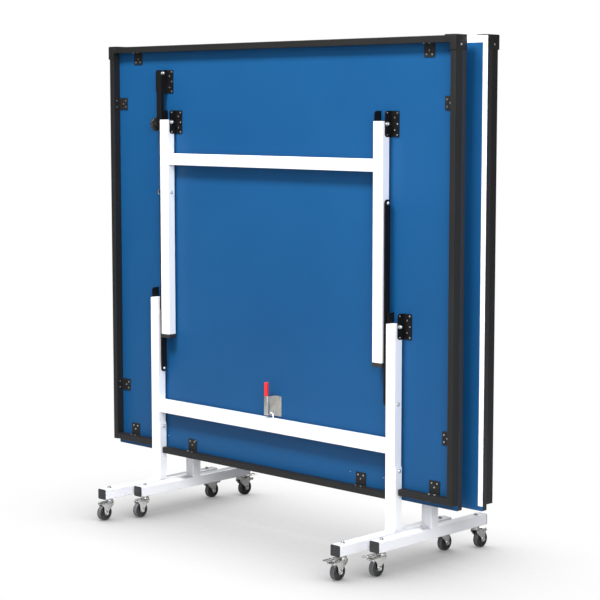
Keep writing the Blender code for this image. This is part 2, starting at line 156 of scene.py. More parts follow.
def smoothOver(piece, angle=35):
    take(piece)
    bpy.ops.object.shade_smooth_by_angle(angle=math.radians(angle))
    return piece


def cutWith(piece, cutter, operation="DIFFERENCE"):
    take(piece)
    modifier = piece.modifiers.new("cut", "BOOLEAN")
    modifier.operation = operation
    modifier.solver = "EXACT"
    modifier.object = cutter
    bpy.ops.object.modifier_apply(modifier=modifier.name)
    bpy.data.objects.remove(cutter, do_unlink=True)
    return piece


def joinAll(name, pieces):
    deselectAll()
    for piece in pieces:
        piece.select_set(True)
    bpy.context.view_layer.objects.active = pieces[0]
    if len(pieces) > 1:
        bpy.ops.object.join()
    pieces[0].name = name
    pieces[0].data.name = name
    return pieces[0]


def copyOf(piece, name, matrix=None):
    twin = piece.copy()
    twin.data = piece.data.copy()
    twin.name = name
    twin.data.name = name
    bpy.context.scene.collection.objects.link(twin)
    if matrix is not None:
        twin.data.transform(matrix)
        if matrix.is_negative:
            twin.data.flip_normals()
    return twin


def along(edge, axis):
    way = edge.verts[1].co - edge.verts[0].co
    return way.length > 0 and abs(way.normalized()["xyz".index(axis)]) > 0.99


def facing(face, axis, sign):
    return face.normal["xyz".index(axis)] * sign > 0.9


def move(x=0.0, y=0.0, z=0.0):
    return Matrix.Translation((x, y, z))


def swing(degrees, axis):
    return Matrix.Rotation(math.radians(degrees), 4, axis.upper())


# shader maths

class Wire:
    # a shader value that Python can do sums with
    def __init__(self, finish, socket):
        self.finish = finish
        self.socket = socket

    def sum(self, operation, first, second, clamp=False):
        settings = {"operation": operation, "use_clamp": clamp}
        return self.finish.node("ShaderNodeMath", settings, {0: first, 1: second})

    def __add__(self, other):
        return self.sum("ADD", self, other)

    __radd__ = __add__

    def __sub__(self, other):
        return self.sum("SUBTRACT", self, other)

    def __rsub__(self, other):
        return self.sum("SUBTRACT", other, self)

    def __mul__(self, other):
        return self.sum("MULTIPLY", self, other)

    __rmul__ = __mul__

    def __gt__(self, other):
        return self.sum("GREATER_THAN", self, other)

    def __lt__(self, other):
        return self.sum("LESS_THAN", self, other)

    def __abs__(self):
        return self.sum("ABSOLUTE", self, 0)

    def most(self, other):
        return self.sum("MAXIMUM", self, other)


class Finish:
    def __init__(self, name, colour, roughness, metallic=0.0, coat=0.0, specular=0.5):
        self.material = bpy.data.materials.new(name)
        self.material.use_nodes = True
        self.tree = self.material.node_tree
        self.shader = self.tree.nodes["Principled BSDF"]
        self.set("Base Color", (*colour, 1))
        self.set("Roughness", roughness)
        self.set("Metallic", metallic)
        self.set("Coat Weight", coat)
        self.set("Specular IOR Level", specular)
        self.material.diffuse_color = (*colour, 1)

    def fill(self, socket, value):
        if isinstance(value, Wire):
            self.tree.links.new(value.socket, socket)
        else:
            socket.default_value = value

    def set(self, name, value):
        self.fill(self.shader.inputs[name], value)

    def node(self, kind, settings=None, inputs=None, output=0):
        made = self.tree.nodes.new(kind)
        for key, value in (settings or {}).items():
            setattr(made, key, value)
        for key, value in (inputs or {}).items():
            self.fill(made.inputs[key], value)
        return Wire(self, made.outputs[output])

    def place(self):
        return self.node("ShaderNodeTexCoord", output="Object")

    def noise(self, scale, detail=3.0, roughness=0.5, stretch=None, place=None):
        where = place or self.place()
        if stretch is not None:
            where = self.node("ShaderNodeMapping", None, {"Vector": where, "Scale": stretch})
        return self.node(
            "ShaderNodeTexNoise", None,
            {"Vector": where, "Scale": scale, "Detail": detail, "Roughness": roughness},
        )

    def blend(self, share, low, high):
        # colours mixed by a share from 0 to 1
        return self.node(
            "ShaderNodeMix", {"data_type": "RGBA"},
            {"Factor": share, 6: low if isinstance(low, Wire) else (*low, 1),
             7: high if isinstance(high, Wire) else (*high, 1)},
            output=2,
        )

    def spread(self, value, low, high, fromLow=0.35, fromHigh=0.65):
        return self.node(
            "ShaderNodeMapRange", {"clamp": True},
            {"Value": value, "From Min": fromLow, "From Max": fromHigh, "To Min": low, "To Max": high},
        )

    def bump(self, height, strength, distance):
        normal = self.node(
            "ShaderNodeBump", None, {"Strength": strength, "Distance": distance, "Height": height}
        )
        self.set("Normal", normal)


powderCoat = {"peelScale": 520, "peelDepth": 0.00006, "cloudScale": 3.5, "speckScale": 900}


def powder(name, colour, roughness, spreadBy=0.05, shade=0.10, peel=0.35, specular=0.5):
    # sprayed and baked paint: faint orange peel and a slow drift in tone
    finish = Finish(name, colour, roughness, specular=specular)
    clouds = finish.noise(powderCoat["cloudScale"], 4)
    fine = finish.noise(powderCoat["speckScale"], 2)
    dark = [c * (1 - shade) for c in colour]
    light = [min(1, c * (1 + shade * 0.6)) for c in colour]
    finish.set("Base Color", finish.blend(finish.spread(clouds, 0, 1), dark, light))
    grain = fine * 0.5 + clouds * 0.5
    finish.set("Roughness", finish.spread(grain, roughness - spreadBy, roughness + spreadBy))
    finish.bump(finish.noise(powderCoat["peelScale"], 2), peel, powderCoat["peelDepth"])
    return finish


def plating(name, colour, roughness, metallic=1.0, grain=None, mottle=0.12):
    # zinc plate: soft mottling, light rolling lines where the sheet was drawn
    finish = Finish(name, colour, roughness, metallic)
    blotch = finish.noise(60, 5, 0.6)
    lines = finish.noise(160, 3, 0.6, stretch=grain or (1, 1, 8))
    dark = [c * (1 - mottle) for c in colour]
    light = [min(1, c * (1 + mottle * 0.5)) for c in colour]
    finish.set("Base Color", finish.blend(finish.spread(blotch, 0, 1), dark, light))
    finish.set("Roughness", finish.spread(blotch * 0.5 + lines * 0.5, roughness - 0.08, roughness + 0.10))
    finish.bump(lines, 0.25, 0.00004)
    return finish


def moulded(name, colour, roughness, textureScale=1400, depth=0.00003):
    # moulded plastic with a spark-eroded texture
    finish = Finish(name, colour, roughness)
    broad = finish.noise(25, 3)
    fine = finish.noise(textureScale, 2)
    finish.set("Base Color", finish.blend(
        finish.spread(broad, 0, 1), [c * 0.9 for c in colour], [min(1, c * 1.08) for c in colour]))
    finish.set("Roughness", finish.spread(fine, roughness - 0.06, roughness + 0.06))
    finish.bump(fine, 0.4, depth)
    return finish


# finishes

boardPaint = {
    "blue": (0.0060, 0.0720, 0.1980), "blueDeep": (0.0052, 0.0650, 0.1820),
    "edge": (0.024, 0.025, 0.029), "line": (0.80, 0.82, 0.83),
    "sideLine": 0.018, "endLine": 0.020, "centreLine": 0.003, "lineStop": 0.014, "skin": 0.0007,
}


def boardFinish(half):
    # lacquered board: blue faces, dark edge band, white lines on the playing face only
    low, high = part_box(half + "_board")
    middleX = (low.x + high.x) / 2
    halfWidth = (high.x - low.x) / 2
    playY = high.y if half == "a" else low.y
    finish = Finish(half + "BoardLacquer", boardPaint["blue"], 0.42, specular=0.22)
    spot = finish.node("ShaderNodeSeparateXYZ", None, {0: finish.place()})
    x = Wire(finish, spot.socket.node.outputs["X"])
    y = Wire(finish, spot.socket.node.outputs["Y"])
    z = Wire(finish, spot.socket.node.outputs["Z"])
    across = abs(x - middleX)
    skin = boardPaint["skin"]
    edge = (across > halfWidth - skin).most(z > high.z - skin).most(z < low.z + skin)
    face = abs(y - playY) < skin
    side = (across > halfWidth - boardPaint["sideLine"]) * (z > low.z + boardPaint["lineStop"])
    end = z > high.z - boardPaint["endLine"]
    centre = across < boardPaint["centreLine"] / 2
    lines = side.most(end).most(centre) * face * (1 - edge)
    roller = finish.noise(700, 2)
    clouds = finish.noise(2.2, 4)
    blue = finish.blend(finish.spread(clouds, 0, 1), boardPaint["blueDeep"], boardPaint["blue"])
    painted = finish.blend(lines, blue, boardPaint["line"])
    finish.set("Base Color", finish.blend(edge, painted, boardPaint["edge"]))
    finish.set("Roughness", finish.spread(roller * 0.6 + clouds * 0.4, 0.38, 0.50) + lines * 0.04)
    finish.bump(roller, 0.30, 0.00005)
    return finish


apronBlack = powder("apronPowder", (0.0130, 0.0127, 0.0127), 0.50, specular=0.28)
bracketBlack = powder("bracketPowder", (0.0050, 0.0050, 0.0055), 0.46, specular=0.22)
tubeWhite = powder("tubePowder", (0.88, 0.89, 0.92), 0.34, shade=0.015)
zincPlate = plating("zincPlate", (0.66, 0.655, 0.63), 0.36)
latchGrey = plating("latchPlate", (0.60, 0.585, 0.56), 0.46, mottle=0.14)
rodGrey = plating("rodPlate", (0.52, 0.52, 0.53), 0.34, grain=(9, 9, 1))
screwZinc = plating("screwPlate", (0.72, 0.71, 0.69), 0.28, mottle=0.08)
plugBlack = moulded("plugPlastic", (0.022, 0.022, 0.024), 0.55)
hubBlack = moulded("hubPlastic", (0.016, 0.016, 0.017), 0.42)
treadGrey = moulded("treadRubber", (0.105, 0.107, 0.109), 0.66, textureScale=420, depth=0.00012)
gripRed = moulded("gripVinyl", (0.92, 0.022, 0.022), 0.36, textureScale=260, depth=0.00008)
knobBlack = moulded("knobPlastic", (0.020, 0.019, 0.019), 0.40)
footRubber = moulded("footRubber", (0.020, 0.019, 0.018), 0.60, textureScale=500, depth=0.0001)

slotFinish = {
    "apron_black": apronBlack, "bracket_black": bracketBlack, "tube_white": tubeWhite,
    "zinc": zincPlate, "tread_grey": treadGrey, "latch_grey": latchGrey, "rod_grey": rodGrey,
}


def dress(piece, finish):
    piece.data.materials.clear()
    piece.data.materials.append(finish.material)
    return piece


nodeSlot = {row["node"]: row["material_slot"] for row in frame["record"]["subparts"]}
for nodeName, nodeObject in frame["nodes"].items():
    if nodeSlot[nodeName] == "board_blue":
        dress(nodeObject, boardFinish(nodeName[0]))
    else:
        dress(nodeObject, slotFinish[nodeSlot[nodeName]])
print("finishes on the frame's own pieces")


# where things are, in a half's own axes: X across, Y from the playing face, Z up

boardLow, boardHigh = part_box("a_board")
homeA = move((boardLow.x + boardHigh.x) / 2, boardHigh.y)
boardLowB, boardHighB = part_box("b_board")
homeB = move((boardLowB.x + boardHighB.x) / 2, boardLowB.y) @ swing(180, "z")
home = {"a": homeA, "b": homeB}


def span(node):
    # a node's lowest and highest corners in the half's axes
    low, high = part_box("a_" + node)
    back = homeA.inverted()
    return back @ low, back @ high


def fit(piece, name, body, finish, stands=None):
    # one copy in each half, riding on that half's body, and the pattern removed
    for half in ("a", "b"):
        twin = copyOf(piece, half + "_" + name, home[half])
        if finish:
            dress(twin, finish)
        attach(twin, half + "_" + body)
        if stands:
            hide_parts(half + "_" + stands)
    bpy.data.objects.remove(piece, do_unlink=True)


# screws, bolts and nuts

screwSize = {"radius": 0.0027, "rise": 0.0016, "cross": 0.0007, "crossDepth": 0.0009, "sides": 14}


def makeScrew():
    # pan head with a cross recess, head along -Y, seat at the origin
    s = screwSize
    head = addRound("screwPattern", (0, -s["rise"] / 2, 0), s["radius"], s["rise"], "y", s["sides"])
    roundEdges(head, s["rise"] * 0.6, 2, lambda edge: all(v.co.y < -s["rise"] * 0.9 for v in edge.verts))
    arm = s["radius"] * 0.55
    wide = s["cross"] / 2
    low = -s["rise"] - 0.001
    deep = low + 0.001 + s["crossDepth"]
    cross = addBox("crossA", (-arm, low, -wide), (arm, deep, wide))
    upright = addBox("crossB", (-wide, low, -arm), (wide, deep, arm))
    cutWith(cross, upright, "UNION")
    return smoothOver(cutWith(head, cross), 40)


screwPattern = makeScrew()
turnFor = {
    "front": Matrix.Identity(4), "right": swing(90, "z"), "left": swing(-90, "z"),
    "up": swing(-90, "x"), "down": swing(90, "x"),
}


def screwsAt(name, body, spots, way="front", size=1.0):
    # spots are (x, y, z) seats; a spot may carry its own way as a fourth value
    heads = []
    for index, spot in enumerate(spots):
        turn = turnFor[spot[3] if len(spot) > 3 else way]
        twist = swing(37 * index % 90, "y")
        matrix = move(*spot[:3]) @ turn @ twist @ Matrix.Scale(size, 4)
        heads.append(copyOf(screwPattern, "head", matrix))
    fit(joinAll(name, heads), name, body, screwZinc)


boltSize = {
    "washer": 0.0085, "washerRise": 0.0012, "head": 0.0062, "headRise": 0.0042,
    "socket": 0.42, "socketDeep": 0.0036,
}
nutSize = {"hexagon": 0.0072, "rise": 0.0055, "washer": 1.25, "collar": 0.70}
acornSize = {
    "washer": 0.0076, "hexagon": 0.0062, "hexagonY": -0.0038, "hexagonRise": 0.0052,
    "dome": 0.0049, "domeY": -0.0074, "domeRise": 0.0056, "round": 0.0034,
}


def makeWasher(radius, rise):
    washer = addRound("washer", (0, -rise / 2, 0), radius, rise, "y", 32)
    return softBevel(washer, 0.0003, 1)


def makeBolt():
    # washer and domed head with a hexagon socket, seat at the origin, head along -Y
    b = boltSize
    top = -b["washerRise"] - b["headRise"]
    washer = makeWasher(b["washer"], b["washerRise"])
    head = addRound("dome", (0, top + b["headRise"] / 2, 0), b["head"], b["headRise"], "y", 32)
    crest = top + b["headRise"] * 0.1
    roundEdges(head, b["headRise"] * 0.8, 5, lambda edge: all(v.co.y < crest for v in edge.verts))
    socket = addRound("socket", (0, top, 0), b["head"] * b["socket"], b["socketDeep"], "y", 6)
    cutWith(head, socket)
    return smoothOver(joinAll("boltPattern", [washer, head]), 35)


def makeNut():
    # hexagon lock nut on a washer with a rounded collar, seat at the origin, along -Y
    n = nutSize
    rise = n["rise"]
    seat = -boltSize["washerRise"]
    washer = makeWasher(n["hexagon"] * n["washer"], boltSize["washerRise"])
    hexagon = addRound("hexagon", (0, seat - rise * 0.36, 0), n["hexagon"], rise * 0.72, "y", 6)
    softBevel(hexagon, 0.0006, 2)
    collar = addRound("collar", (0, seat - rise * 0.72, 0), n["hexagon"] * n["collar"], rise * 0.56, "y", 32)
    roundEdges(collar, rise * 0.2, 3, lambda edge: all(v.co.y < seat - rise * 0.95 for v in edge.verts))
    return smoothOver(joinAll("nutPattern", [washer, hexagon, collar]), 32)


def makeAcorn():
    # long domed nut on a washer, seat at the origin, along -Y
    n = acornSize
    tip = n["domeY"] - n["domeRise"] / 2
    washer = makeWasher(n["washer"], boltSize["washerRise"])
    hexagon = addRound("hexagon", (0, n["hexagonY"], 0), n["hexagon"], n["hexagonRise"], "y", 6)
    softBevel(hexagon, 0.0007, 2)
    dome = addRound("dome", (0, n["domeY"], 0), n["dome"], n["domeRise"], "y", 32)
    roundEdges(dome, n["round"], 5, lambda edge: all(v.co.y < tip + 0.0002 for v in edge.verts))
    return smoothOver(joinAll("acornPattern", [washer, hexagon, dome]), 32)


boltPattern = makeBolt()
acornPattern = makeAcorn()
nutPattern = makeNut()


def hardwareAt(name, body, rows):
    # rows are (pattern, x, y, z, way, size)
    parts = []
    for pattern, x, y, z, way, size in rows:
        matrix = move(x, y, z) @ turnFor[way] @ Matrix.Scale(size, 4)
        parts.append(copyOf(pattern, "part", matrix))
    fit(joinAll(name, parts), name, body, screwZinc)


# screws of the square plates on the rails: three in the board and two in the rail

tabSize = {
    "side": 0.040, "out": 0.012, "across": 0.0105, "face": -0.0024, "rail": 0.020, "railY": -0.0325,
    "endX": 0.643, "netX": 0.3825, "cornerX": 0.675, "heights": (0.209, 1.179),
}


def tabSpots(x, z, axis, sign):
    # axis and sign say on which side of the plate its rail lies
    t = tabSize
    face = boardLow.y - boardHigh.y + t["face"]
    reach = sign * (t["side"] / 2 + 0.0001)
    inBoard = -sign * t["out"]
    hands = (-t["across"], t["across"])
    if axis == "x":
        aim = "left" if sign > 0 else "right"
        spots = [(x + inBoard, face, z + hand) for hand in hands]
        spots += [(x + reach, t["railY"], z + hand, aim) for hand in hands]
    else:
        aim = "down" if sign > 0 else "up"
        spots = [(x + hand, face, z + inBoard) for hand in hands]
        spots += [(x + hand, t["railY"], z + reach, aim) for hand in hands]
    return spots + [(x, face, z)]


sideLow, sideHigh = span("apron_right")
endHigh = span("apron_end")[1]
netLow, netHigh = span("apron_net")
beyondRail = tabSize["rail"] + tabSize["side"] / 2
tabScrews = []
for side in (-1, 1):
    tabScrews += tabSpots(side * tabSize["endX"], endHigh.z - beyondRail, "z", 1)
for side in (-1, 1):
    tabScrews += tabSpots(side * tabSize["netX"], netLow.z + beyondRail, "z", -1)
for side in (-1, 1):
    for height in tabSize["heights"]:
        tabScrews += tabSpots(side * (sideHigh.x - beyondRail), netLow.z + height, "x", side)
    tabScrews += tabSpots(side * tabSize["cornerX"], sideLow.z + beyondRail, "z", -1)
screwsAt("tab_screws", "panel", tabScrews)

# two screws near each end of the net rail

netScrew = {"fromEnd": 0.018, "x": 0.352, "y": -0.033}
railScrews = [(side * x, netScrew["y"], netHigh.z + 0.0001, "up")
              for side in (-1, 1) for x in (netHigh.x - netScrew["fromEnd"], netScrew["x"])]
screwsAt("rail_screws", "panel", railScrews, size=0.85)
print("screws on plates and rails")


# bracket screws: three in the outer column, two in the inner

bracketSize = {
    "plate": 0.0025, "base": 0.030, "clear": 0.0008, "seat": 0.00005,
    "outer": 0.0055, "inner": 0.0165, "edge": 0.0065, "closer": 0.58, "rivetIn": 0.0085,
}


def baseScrews(node):
    c = bracketSize
    low, high = span(node)
    face = high.y - c["plate"] - c["seat"]
    mid = (low.z + high.z) / 2
    tall = (high.z - low.z) / 2 - c["edge"]
    spots = [(high.x - c["outer"], face, mid + step * tall) for step in (-1, 0, 1)]
    spots += [(high.x - c["inner"], face, mid + step * tall * c["closer"]) for step in (-1, 1)]
    return spots


bracketScrews = []
for word in ("pivot_bracket_left", "pivot_bracket_right", "leg_bracket_left", "leg_bracket_right",
             "stay_bracket"):
    bracketScrews += baseScrews(word)
screwsAt("bracket_screws", "panel", bracketScrews)


def flangeRivets(node, width):
    # the two small bolts at the front corners of the flange
    c = bracketSize
    low, high = span(node)
    mid = (low.x + high.x - c["base"]) / 2
    face = mid + width / 2 + c["clear"] + c["plate"] + c["seat"]
    return [(face, low.y + c["rivetIn"], z, "right") for z in (low.z + c["edge"], high.z - c["edge"])]


tubes = {
    "postX": 0.531, "postWide": 0.036, "postDeep": 0.034, "abovePivot": 0.007,
    "legX": 0.4765, "legWide": 0.038, "aboveHinge": 0.008,
}
flangeScrews = []
for kind, width in (("pivot", tubes["postWide"]), ("leg", tubes["legWide"])):
    for word in ("left", "right"):
        flangeScrews += flangeRivets(kind + "_bracket_" + word, width)
screwsAt("flange_screws", "panel", flangeScrews, size=0.95)

# pivots

frameLow, frameHigh = span("upright_frame")
legLow, legHigh = span("leg_frame")
strutLow, strutHigh = span("strut_right")
pivotY = (frameLow.y + frameHigh.y) / 2
pivotZ = frameHigh.z - tubes["abovePivot"]
hingeZ = legHigh.z - tubes["aboveHinge"]
postX = tubes["postX"]
legX = tubes["legX"]
overFlange = bracketSize["clear"] + bracketSize["plate"]
postReach = tubes["postWide"] / 2 + overFlange + 0.0008
legReach = tubes["legWide"] / 2 + overFlange + 0.0004
trolleyRows = []
legRows = []
for side in (-1, 1):
    trolleyRows.append((acornPattern, side * postX + postReach, pivotY, pivotZ, "right", 0.95))
    trolleyRows.append((nutPattern, side * postX - postReach, pivotY, pivotZ, "left", 0.62))
    legRows.append((acornPattern, side * legX + legReach, pivotY, hingeZ, "right", 0.95))
    legRows.append((nutPattern, side * legX - legReach, pivotY, hingeZ, "left", 0.85))
hardwareAt("pivot_bolts", "trolley", trolleyRows)
hardwareAt("leg_bolts", "end_leg", legRows)
print("pivots")

# strut pins: heads on the strut and on the far side of the tube

strutPin = {
    "fromEnd": 0.011, "strutIn": 0.4986, "postOut": 0.5491, "legIn": 0.4574, "strutOut": (0.5139, 0.5054),
}
strutLowZ = strutLow.z + strutPin["fromEnd"]
strutHighZ = strutHigh.z - strutPin["fromEnd"]
pinRows = []
strutPinRows = []
for side, inward, outward, reach in (
        (-1, "right", "left", strutPin["strutOut"][0]), (1, "left", "right", strutPin["strutOut"][1])):
    pinRows.append((boltPattern, side * strutPin["strutIn"], pivotY, strutLowZ, inward, 0.58))
    pinRows.append((boltPattern, side * strutPin["postOut"], pivotY, strutLowZ, outward, 0.72))
    strutPinRows.append((boltPattern, side * strutPin["legIn"], pivotY, strutHighZ, inward, 0.72))
    strutPinRows.append((boltPattern, side * reach, pivotY, strutHighZ, outward, 0.66))
hardwareAt("strut_low_bolts", "trolley", pinRows)
hardwareAt("strut_high_bolts", "end_leg", strutPinRows)


# stay: pin heads and clamp knob

staySize = {"wide": 0.020, "abovePin": 0.008, "boss": 0.003}
stayLow, stayHigh = span("stay_channel")
stayX = (stayLow.x + stayHigh.x) / 2
stayZ = stayHigh.z - staySize["abovePin"]
stayReach = staySize["wide"] / 2 + overFlange + 0.0001
stayFace = stayLow.x - 0.0008
hardwareAt("stay_pin_heads", "panel", [
    (acornPattern, stayX + stayReach, pivotY, stayZ, "right", 0.95),
    (nutPattern, stayX - stayReach, pivotY, stayZ, "left", 0.7),
])

knobSize = {
    "radius": 0.0238, "thick": 0.0095, "z": 1.3080, "y": -0.0428, "lobes": 9, "waist": 0.90, "dish": 0.0015,
}


def makeKnob():
    k = knobSize
    x = stayFace - staySize["boss"] - k["thick"] / 2
    knob = addRound("knob", (x, k["y"], k["z"]), k["radius"], k["thick"], "x", k["lobes"] * 8)

    def inWaist(face):
        middle = face.calc_center_median()
        angle = math.atan2(middle.z - k["z"], middle.y - k["y"])
        return abs(face.normal.x) < 0.5 and math.cos(angle * k["lobes"]) < -0.35

    openEdit(knob)
    pick(knob, "faces", inWaist)
    bpy.ops.transform.resize(value=(1, k["waist"], k["waist"]), center_override=(x, k["y"], k["z"]))
    closeEdit()
    roundEdges(knob, 0.0030, 3, lambda edge: all(abs(v.co.x - x) > k["thick"] * 0.45 for v in edge.verts))
    insetPush(knob, lambda face: face.normal.x < -0.9 and face.calc_area() > 0.0004, 0.004, -k["dish"])
    neck = addRound("neck", (stayFace - staySize["boss"] / 2, k["y"], k["z"]), 0.009, 0.0034, "x", 32)
    softBevel(neck, 0.0004, 2)
    return smoothOver(joinAll("knob", [knob, neck]), 32)


fit(makeKnob(), "stay_knob", "stay_outer", knobBlack)
knobFace = stayFace - staySize["boss"] - knobSize["thick"] + knobSize["dish"]
screwsAt("knob_screw", "stay_outer", [(knobFace, knobSize["y"], knobSize["z"], "left")], size=1.5)
print("stay")


# trolley: joint plates, their bolts, plugs and stem nuts

footSize = {"top": 0.1055, "half": 0.250, "stemFromMiddle": 0.220}
footTop = footSize["top"]
footBottom = span("foot_right")[0].z
plateSize = {
    "low": 0.1065, "high": 0.301, "thick": 0.0016, "front": 0.0045, "back": 0.0165, "round": 0.004,
    "bolts": (0.211, 0.287), "y": -0.0335,
}


def makePlate(side):
    c = plateSize
    face = side * postX + tubes["postWide"] / 2 + 0.00015
    front = pivotY - tubes["postDeep"] / 2 + c["front"]
    plate = addBox("plate", (face, front, c["low"]), (face + c["thick"], pivotY + c["back"], c["high"]))
    roundEdges(plate, c["round"], 3, lambda edge: along(edge, "x") and edge.verts[0].co.z > c["bolts"][0])
    return softBevel(plate, 0.0004, 1, 60)


plateRows = []
plates = []
for side in (-1, 1):
    plates.append(makePlate(side))
    face = side * postX + tubes["postWide"] / 2 + plateSize["thick"] + 0.0002
    back = side * postX - tubes["postWide"] / 2 - 0.0001
    for z in plateSize["bolts"]:
        plateRows.append((boltPattern, face, plateSize["y"], z, "right", 0.70))
        plateRows.append((nutPattern, back, plateSize["y"], z, "left", 0.72))
fit(smoothOver(joinAll("plates", plates), 35), "joint_plates", "trolley", tubeWhite)
hardwareAt("joint_bolts", "trolley", plateRows)

plugSize = {"thick": 0.0030, "round": 0.0042, "edge": 0.0007, "collar": 0.012, "wall": 0.0023, "rim": 0.0015}


def makePlug(x, end):
    # end cap of a foot bar, with its collar inside the tube
    c = plugSize
    wide = tubes["postWide"] / 2
    inWide = wide - c["wall"]
    tip = pivotY + end * footSize["half"]
    seat = tip + end * 0.0001
    cap = addBox("cap", (x - wide, seat, footBottom), (x + wide, seat + end * c["thick"], footTop))
    roundEdges(cap, c["round"], 4, lambda edge: along(edge, "y"))
    roundEdges(cap, c["edge"], 2,
               lambda edge: all((v.co.y - tip) * end > c["thick"] * 0.8 for v in edge.verts))
    collar = addBox("collar", (x - inWide, tip, footBottom + c["wall"]),
                    (x + inWide, tip - end * c["collar"], footTop - c["wall"]))
    insetPush(collar, lambda face: facing(face, "y", -end), c["rim"], -0.010)
    softBevel(collar, 0.0005, 1)
    return joinAll("plug", [cap, collar])


plugs = [makePlug(side * postX, end) for side in (-1, 1) for end in (-1, 1)]
fit(smoothOver(joinAll("plugs", plugs), 35), "foot_plugs", "trolley", plugBlack)

stemNut = {
    "hex": 0.0056, "hexRise": 0.0034, "dome": 0.0044, "rise": 0.0066, "washer": 0.0070, "washerRise": 0.0012,
}


def makeStemNut():
    n = stemNut
    seat = n["washerRise"] + 0.0001
    washer = addRound("washer", (0, 0, n["washerRise"] / 2 + 0.0001), n["washer"], n["washerRise"], "z", 32)
    softBevel(washer, 0.0003, 1)
    hexagon = addRound("hexagon", (0, 0, seat + n["hexRise"] / 2), n["hex"], n["hexRise"], "z", 6)
    softBevel(hexagon, 0.0008, 2)
    dome = addRound("dome", (0, 0, (n["rise"] + seat) / 2), n["dome"], n["rise"] - seat, "z", 32)
    roundEdges(dome, 0.0022, 5, lambda edge: all(v.co.z > n["rise"] * 0.95 for v in edge.verts))
    return smoothOver(joinAll("stemNut", [washer, hexagon, dome]), 35)


stemPattern = makeStemNut()
stemNuts = [copyOf(stemPattern, "nut", move(side * postX, pivotY + end * footSize["stemFromMiddle"], footTop))
            for side in (-1, 1) for end in (-1, 1)]
fit(joinAll("stemNuts", stemNuts), "stem_nuts", "trolley", rodGrey)
bpy.data.objects.remove(stemPattern, do_unlink=True)

hookSize = {
    "x": 0.0355, "y": -0.0525, "foot": 0.3805, "wire": 0.0021, "stand": 0.011, "bend": 0.010, "sweep": 105,
}


def makeHook():
    # bent wire welded to the top of the crossbar
    h = hookSize
    hook = addRound("hook", (h["x"], h["y"], h["foot"] + h["stand"] / 2), h["wire"], h["stand"], "z", 20)
    centre = (h["x"] - h["bend"], h["y"], h["foot"] + h["stand"])
    openEdit(hook)
    pick(hook, "faces", lambda face: face.normal.z > 0.9)
    bpy.ops.mesh.spin(steps=14, angle=math.radians(h["sweep"]), center=centre, axis=(0, 1, 0))
    bpy.ops.mesh.select_all(action="SELECT")
    bpy.ops.mesh.remove_doubles(threshold=0.000001)
    bpy.ops.mesh.normals_make_consistent(inside=False)
    closeEdit()
    return smoothOver(hook, 50)


fit(makeHook(), "storage_hook", "trolley", tubeWhite)
print("trolley")


# end leg: rubber feet and top plugs

legEnd = {
    "footWide": 0.0196, "footDeep": 0.0166, "footRise": 0.0125, "under": 0.0003,
    "plugWide": 0.0170, "plugDeep": 0.0140, "plugRise": 0.012, "sunk": 0.0008,
}


def makeLegFoot(side):
    c = legEnd
    x = side * legX
    foot = addBox("foot", (x - c["footWide"], pivotY - c["footDeep"], legLow.z - c["under"]),
                  (x + c["footWide"], pivotY + c["footDeep"], legLow.z + c["footRise"]))
    roundEdges(foot, 0.0034, 3, lambda edge: along(edge, "z"))
    return softBevel(foot, 0.0010, 2, 50)


def makeLegPlug(side):
    c = legEnd
    x = side * legX
    top = legHigh.z - c["sunk"]
    plug = addBox("plug", (x - c["plugWide"], pivotY - c["plugDeep"], top - c["plugRise"]),
                  (x + c["plugWide"], pivotY + c["plugDeep"], top))
    roundEdges(plug, 0.0014, 2, lambda edge: along(edge, "z"))
    insetPush(plug, lambda face: face.normal.z > 0.9, 0.0030, -0.0012)
    return softBevel(plug, 0.0005, 1, 50)


legFeet = [makeLegFoot(side) for side in (-1, 1)]
fit(smoothOver(joinAll("legFeet", legFeet), 35), "leg_feet", "end_leg", footRubber)
legPlugs = [makeLegPlug(side) for side in (-1, 1)]
fit(smoothOver(joinAll("legPlugs", legPlugs), 35), "leg_plugs", "end_leg", plugBlack)
print("end leg")


# corner caps on the end rail

capSize = {
    "along": 0.040, "down": 0.041, "proud": 0.0024, "lip": 0.0022, "lipWide": 0.0208, "gap": 0.0002,
    "round": 0.0040, "screwY": -0.027, "screwDown": 0.026, "past": 0.2,
}


def makeCornerCap():
    c = capSize
    right = boardHigh.x - homeA.translation.x
    top = boardHigh.z
    front = sideLow.y
    g = c["gap"]
    cap = addBox("cap", (right - c["along"], front - c["lip"] - g, top - c["down"]),
                 (right + c["proud"], -0.0004, top + c["proud"]))
    roundEdges(cap, c["round"], 4, lambda edge: along(edge, "y")
               and edge.verts[0].co.x > right and edge.verts[0].co.z > top)
    past = c["past"]
    inside = addBox("inside", (right - past, front - g, top - past), (right + g, 0.02, top + g))
    cutWith(cap, inside)
    window = addBox("window", (right - past, front - 0.02, top - past),
                    (right - c["lipWide"], front + 0.01, top - c["lipWide"]))
    cutWith(cap, window)
    softBevel(cap, 0.0006, 2, 40)
    return smoothOver(cap, 35)


rightCap = makeCornerCap()
leftCap = copyOf(rightCap, "leftCap", Matrix.Diagonal((-1, 1, 1, 1)))
fit(joinAll("caps", [rightCap, leftCap]), "corner_caps", "panel", apronBlack)
capFace = boardHigh.x - homeA.translation.x + capSize["proud"] + 0.00005
capScrews = [(side * capFace, capSize["screwY"], boardHigh.z - capSize["screwDown"], way)
             for side, way in ((1, "right"), (-1, "left"))]
screwsAt("cap_screws", "panel", capScrews, size=1.25)
print("corner caps")


# storage latch

